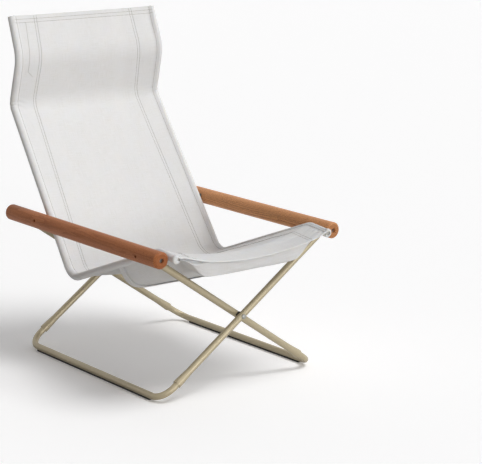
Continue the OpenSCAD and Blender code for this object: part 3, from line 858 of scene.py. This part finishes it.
def cotton_canvas():
    """Heavy cotton canvas, plain woven, bleached and pressed: matt, with a faint fuzz and
    thicker threads that run both ways"""
    colours = settings("colours")
    material, tree, shader = new_material("cotton_canvas")
    flat = add_node(tree, "UVMap").outputs["UV"]
    # Drawn coarser than canvas of this weight is woven, so that the threads show
    thread = 2 * MM
    split = add_node(tree, "SeparateXYZ", Vector=flat)
    waves = []
    for axis in ("X", "Y"):
        turned = add_node(tree, "Math MULTIPLY", _0=split.outputs[axis], _1=math.pi / thread)
        waves.append(add_node(tree, "Math SINE", _0=turned))
    weave = add_node(tree, "Math MULTIPLY", _0=waves[0], _1=waves[1])
    slubs = []
    for stretch in ((30, 900, 1), (900, 30, 1)):
        along = add_node(tree, "VectorMath MULTIPLY", _0=flat, _1=stretch)
        slubs.append(add_node(tree, "TexNoise", Vector=along, Scale=1.0, Detail=2.0))
    slub = add_node(tree, "Math ADD", _0=slubs[0], _1=slubs[1])
    shade = add_node(tree, "MapRange", Value=slub, From_Min=0.85, From_Max=1.25)
    blotch = add_node(tree, "TexNoise", Vector=flat, Scale=14.0, Detail=3.0)
    mixed = add_node(tree, "Math MULTIPLY", _0=shade, _1=blotch)
    colour = add_node(tree, "Mix RGBA", Factor=mixed,
                      _6=linear(colours.canvas), _7=linear(colours.canvas_slub))
    # A sharp crease beside the right double seam, from the top hem to below the neck, where it
    # turns towards the seam. Its line is bumped, and painted darker towards the thread's grey as
    # painted shade in the fold
    top = add_node(tree, "Math SUBTRACT", _0=cloth_rows()[-1].along, _1=split.outputs["Y"])
    line = add_node(tree, "MapRange", Value=top, From_Min=0.020, From_Max=0.160, To_Min=-0.1980,
                    To_Max=-0.2095)
    turn = add_node(tree, "MapRange", Value=top, From_Min=0.160, From_Max=0.178, To_Max=0.0175)
    line = add_node(tree, "Math ADD", _0=line, _1=turn)
    away = add_node(tree, "Math SUBTRACT", _0=split.outputs["X"], _1=line)
    away = add_node(tree, "Math ABSOLUTE", _0=away)
    crease = add_node(tree, "MapRange", Value=away, From_Max=1.7 * MM, To_Min=1.0, To_Max=0.0)
    for start, end in ((0.018, 0.024), (0.182, 0.174)):
        inside = add_node(tree, "MapRange", Value=top, From_Min=start, From_Max=end)
        crease = add_node(tree, "Math MULTIPLY", _0=crease, _1=inside)
    # Painted shade: the crease's line is darkened in the canvas's colour
    painted_crease_shade = add_node(tree, "Math MULTIPLY", _0=crease, _1=0.45)
    colour = add_node(tree, "Mix RGBA", Factor=painted_crease_shade, _6=colour, _7=linear(colours.thread))
    height = add_node(tree, "Math MULTIPLY_ADD", _0=slub, _1=0.6, _2=weave)
    weave_bump = add_node(tree, "Bump", Height=height, Strength=0.35, Distance=0.25 * MM)
    # Where the seat and the sling are drawn from side to side, fine creases run across them
    drawn = add_node(tree, "VectorMath MULTIPLY", _0=flat, _1=(9, 150, 1))
    drawn = add_node(tree, "TexNoise", Vector=drawn, Scale=1.0, Detail=3.0, Distortion=0.3)
    seat = add_node(tree, "MapRange", Value=split.outputs["Y"], From_Min=0.50, From_Max=0.36)
    drawn = add_node(tree, "Math MULTIPLY", _0=drawn, _1=seat)
    drawn = add_node(tree, "Math MULTIPLY_ADD", _0=crease, _1=-0.4, _2=drawn)
    bump = add_node(tree, "Bump", Height=drawn, Strength=1.0, Distance=2.2 * MM, Normal=weave_bump)
    fill(shader, Base_Color=colour, Normal=bump, Roughness=0.92, Specular_IOR_Level=0.25,
         Sheen_Weight=0.12, Sheen_Roughness=0.5)
    # Some light passes through the cloth, so that its folds are warm grey inside, not black
    fill(shader, Subsurface_Weight=0.3, Subsurface_Radius=(1.0, 0.8, 0.6),
         Subsurface_Scale=1.2 * MM)
    return material


def oiled_beech():
    """Steamed beech, turned round and oiled: pinkish brown, with fine growth rings, short dark
    rays along the grain and a low sheen"""
    colours = settings("colours")
    material, tree, shader = new_material("oiled_beech")
    place = add_node(tree, "TexCoord").outputs["Object"]
    split = add_node(tree, "SeparateXYZ", Vector=place)
    across = add_node(tree, "Math ABSOLUTE", _0=split.outputs["X"])
    # The heart of the tree lies outside the turned rod, below it and towards the seat
    folded = add_node(tree, "CombineXYZ", X=across, Y=split.outputs["Y"], Z=split.outputs["Z"])
    centred = add_node(tree, "Mapping", Vector=folded,
                       Location=(-ARM.x + 0.052, 0, -ARM.z + 0.041))
    drift = add_node(tree, "VectorMath MULTIPLY", _0=centred, _1=(30, 3.2, 30))
    bend = add_node(tree, "TexNoise", Vector=drift, Scale=1.0, Detail=3.0)
    flat = add_node(tree, "VectorMath MULTIPLY", _0=centred, _1=(1, 0, 1))
    reach = add_node(tree, "VectorMath LENGTH", _0=flat)
    # Growth rings are about 3.4 mm wide, and wander along the rod
    moved = add_node(tree, "Math MULTIPLY_ADD", _0=bend, _1=22 * MM, _2=reach)
    ring = add_node(tree, "Math DIVIDE", _0=moved, _1=3.4 * MM)
    ring = add_node(tree, "Math FRACT", _0=ring)
    late = add_node(tree, "Math POWER", _0=ring, _1=2.2)
    late = add_node(tree, "Math MULTIPLY", _0=late, _1=0.8)
    # The right arm, the nearer one, is drawn redder and darker than the left: painted shade of that
    # arm, on the darker side of the room
    right = add_node(tree, "Math LESS_THAN", _0=split.outputs["X"], _1=0.0)
    arms_with_painted_shade = add_node(tree, "Mix RGBA", Factor=right,
                     _6=linear(colours.beech), _7=linear(colours.beech_right_painted_shade))
    wood = add_node(tree, "Mix RGBA", Factor=late, _6=arms_with_painted_shade, _7=linear(colours.beech_ring))
    # Rays are dark flecks about 0.4 mm wide and 4 mm long
    fine = add_node(tree, "VectorMath MULTIPLY", _0=place, _1=(1800, 170, 1800))
    fleck = add_node(tree, "TexNoise", Vector=fine, Scale=1.0, Detail=1.0)
    fleck = add_node(tree, "MapRange", Value=fleck, From_Min=0.58, From_Max=0.70, To_Max=0.8)
    rays = add_node(tree, "Mix RGBA", Factor=fleck, _6=wood, _7=linear(colours.beech_fleck))
    bump = add_node(tree, "Bump", Height=fleck, Strength=0.3, Distance=0.15 * MM)
    bump.invert = True
    # End grain takes up more oil, and is darker
    facing = add_node(tree, "SeparateXYZ", Vector=add_node(tree, "TexCoord").outputs["Normal"])
    end = add_node(tree, "Math ABSOLUTE", _0=facing.outputs["Y"])
    end = add_node(tree, "MapRange", Value=end, From_Min=0.5, From_Max=0.95, To_Max=0.5)
    rays = add_node(tree, "Mix RGBA", Factor=end, _6=rays, _7=linear(colours.beech_fleck))
    fill(shader, Base_Color=rays, Normal=bump, Roughness=0.5, Specular_IOR_Level=0.2)
    return material


def champagne_powder_coat():
    """Steel tube with a champagne powder coat: satin, with the coat's fine orange peel"""
    material, tree, shader = new_material("champagne_powder_coat")
    place = add_node(tree, "TexCoord").outputs["Object"]
    peel = add_node(tree, "TexNoise", Vector=place, Scale=650.0, Detail=2.0)
    bump = add_node(tree, "Bump", Height=peel, Strength=0.16, Distance=0.2 * MM)
    cloud = add_node(tree, "TexNoise", Vector=place, Scale=9.0, Detail=2.0)
    rough = add_node(tree, "MapRange", Value=cloud, From_Min=0.3, From_Max=0.7,
                     To_Min=0.33, To_Max=0.42)
    fill(shader, Base_Color=linear(settings("colours").paint), Metallic=0.35, Roughness=rough,
         Normal=bump)
    return material


def zinc_plated_steel():
    """Cold-headed steel with a thin zinc plate: grey, slightly clouded metal"""
    material, tree, shader = new_material("zinc_plated_steel")
    place = add_node(tree, "TexCoord").outputs["Object"]
    cloud = add_node(tree, "TexNoise", Vector=place, Scale=300.0, Detail=3.0)
    rough = add_node(tree, "MapRange", Value=cloud, From_Min=0.3, From_Max=0.7,
                     To_Min=0.28, To_Max=0.45)
    fill(shader, Base_Color=linear(settings("colours").steel), Metallic=1, Roughness=rough)
    return material


def moulded_nylon():
    """Injection-moulded nylon from a spark-eroded mould: near black, with a fine matt grain"""
    material, tree, shader = new_material("moulded_nylon")
    place = add_node(tree, "TexCoord").outputs["Object"]
    grain = add_node(tree, "TexNoise", Vector=place, Scale=1400.0, Detail=2.0)
    bump = add_node(tree, "Bump", Height=grain, Strength=0.3, Distance=0.1 * MM)
    fill(shader, Base_Color=linear(settings("colours").nylon), Roughness=0.55, Normal=bump)
    return material


def pale_nylon():
    """The same moulding in a pale grey, for the plugs in the side rails"""
    material = moulded_nylon()
    material.name = "pale_nylon"
    fill(material.node_tree.nodes[SHADER], Base_Color=linear(settings("colours").pale_nylon))
    return material


def extruded_rubber():
    """Extruded rubber strip: dull black, with fine drag lines along it"""
    material, tree, shader = new_material("extruded_rubber")
    place = add_node(tree, "TexCoord").outputs["Object"]
    lines = add_node(tree, "VectorMath MULTIPLY", _0=place, _1=(900, 12, 900))
    drag = add_node(tree, "TexNoise", Vector=lines, Scale=1.0, Detail=2.0)
    bump = add_node(tree, "Bump", Height=drag, Strength=0.25, Distance=0.2 * MM)
    fill(shader, Base_Color=linear(settings("colours").rubber), Roughness=0.8, Normal=bump)
    return material


class CHAIR_OT_finishes(bpy.types.Operator):
    """All the finishes, laid on the frame's own pieces: wood, paint, steel, nylon and rubber"""

    bl_idname = "chair.finishes"
    bl_label = "Finishes"

    def execute(self, context):
        for make in (cotton_canvas, polyester_thread, oiled_beech, champagne_powder_coat,
                     zinc_plated_steel, moulded_nylon, pale_nylon, extruded_rubber):
            MATERIALS[make.__name__] = make()
        for part in frame["record"]["subparts"]:
            piece = frame["nodes"][part["node"]]
            wear(piece, MATERIALS[FINISHES[part["material_slot"]]])
        for node in ("right_rail_plugs", "left_rail_plugs"):
            wear(frame["nodes"][node], MATERIALS["pale_nylon"])
        return {"FINISHED"}


def seen(tree):
    """1 for what is seen straight, in a gloss or through glass, 0 for the light on the chair"""
    path = add_node(tree, "LightPath")
    either = add_node(tree, "Math MAXIMUM", _0=path.outputs["Is Camera Ray"],
                      _1=path.outputs["Is Glossy Ray"])
    return add_node(tree, "Math MAXIMUM", _0=either,
                    _1=path.outputs["Is Transmission Ray"]).outputs[0]


class CHAIR_OT_stage(bpy.types.Operator):
    """Pale floor, soft lamps and the camera"""

    bl_idname = "chair.stage"
    bl_label = "Stage"

    def execute(self, context):
        stage = settings("stage")
        scene = context.scene
        scene.view_settings.view_transform = "Standard"
        deselect_all()
        bpy.ops.mesh.primitive_circle_add(vertices=96, radius=60, fill_type="NGON")
        floor = context.object
        floor.name = "floor"
        floor.data.transform(floor.matrix_world)
        floor.matrix_world.identity()
        material, tree, shader = new_material("pale_floor")
        # The camera sees a paler floor than the one that throws light back on the chair
        tone = add_node(tree, "Mix RGBA", Factor=seen(tree),
                        _6=(0.66, 0.64, 0.62, 1), _7=linear(settings("colours").floor))
        fill(shader, Base_Color=tone, Roughness=0.9)
        # A little of its own light, which is seen but does not light the chair, turns the floor
        # white and leaves the chair's shadow on it
        glow = add_node(tree, "Math MULTIPLY", _0=seen(tree), _1=0.13)
        fill(shader, Emission_Color=(1, 1, 1, 1), Emission_Strength=glow)
        wear(floor, material)

        # The room is white in front and on the right, and darker and warmer on the left
        world = bpy.data.worlds.new("studio")
        scene.world = world
        world.use_nodes = True
        tree = world.node_tree
        way = add_node(tree, "SeparateXYZ", Vector=add_node(tree, "TexCoord").outputs["Generated"])
        share = add_node(tree, "MapRange", Value=way.outputs["X"], From_Min=-0.45, From_Max=0.3)
        room = add_node(tree, "Mix RGBA", Factor=share,
                        _6=(0.03, 0.022, 0.016, 1), _7=(0.55, 0.55, 0.56, 1))
        shown = add_node(tree, "Mix RGBA", Factor=seen(tree), _6=room, _7=(1, 1, 1, 1))
        fill(tree.nodes["Background"], Color=shown)

        for name, power, spread, ray in LAMPS:
            data = bpy.data.lights.new(name, "SUN")
            data.energy = power
            data.angle = math.radians(spread)
            lamp = bpy.data.objects.new(name, data)
            scene.collection.objects.link(lamp)
            lamp.location = -3 * Vector(ray)
            lamp.rotation_euler = Vector(ray).to_track_quat("-Z", "Y").to_euler()

        data = bpy.data.cameras.new("camera")
        data.lens = stage.lens
        data.sensor_width = 36
        data.clip_end = 200
        camera = bpy.data.objects.new("camera", data)
        scene.collection.objects.link(camera)
        camera.location = stage.camera
        level = math.cos(stage.elevation)
        view = Vector((math.sin(stage.azimuth) * level, math.cos(stage.azimuth) * level,
                       -math.sin(stage.elevation)))
        camera.rotation_euler = view.to_track_quat("-Z", "Y").to_euler()
        scene.camera = camera
        return {"FINISHED"}


class CHAIR_PT_pieces(bpy.types.Panel):
    """Lists the pieces in the order in which they are made"""

    bl_label = "Lounge chair"
    bl_idname = "CHAIR_PT_pieces"
    bl_space_type = "VIEW_3D"
    bl_region_type = "UI"
    bl_category = "Chair"

    def draw(self, context):
        for operator in OPERATORS:
            self.layout.operator(operator.bl_idname)


OPERATORS = (
    CHAIR_OT_finishes,
    CHAIR_OT_rail_sleeves,
    CHAIR_OT_side_hems,
    CHAIR_OT_seat_back_canvas,
    CHAIR_OT_under_seat_sling,
    CHAIR_OT_seams,
    CHAIR_OT_stage,
)


def register():
    for group in SETTINGS.values():
        bpy.utils.register_class(group)
    for name, group in SETTINGS.items():
        setattr(bpy.types.Scene, name, PointerProperty(type=group))
    for operator in OPERATORS:
        bpy.utils.register_class(operator)
    bpy.utils.register_class(CHAIR_PT_pieces)


def unregister():
    bpy.utils.unregister_class(CHAIR_PT_pieces)
    for operator in reversed(OPERATORS):
        bpy.utils.unregister_class(operator)
    for name in SETTINGS:
        delattr(bpy.types.Scene, name)
    for group in reversed(SETTINGS.values()):
        bpy.utils.unregister_class(group)


def main():
    register()
    for operator in OPERATORS:
        group, name = operator.bl_idname.split(".")
        getattr(getattr(bpy.ops, group), name)()


if __name__ == "__main__":
    main()
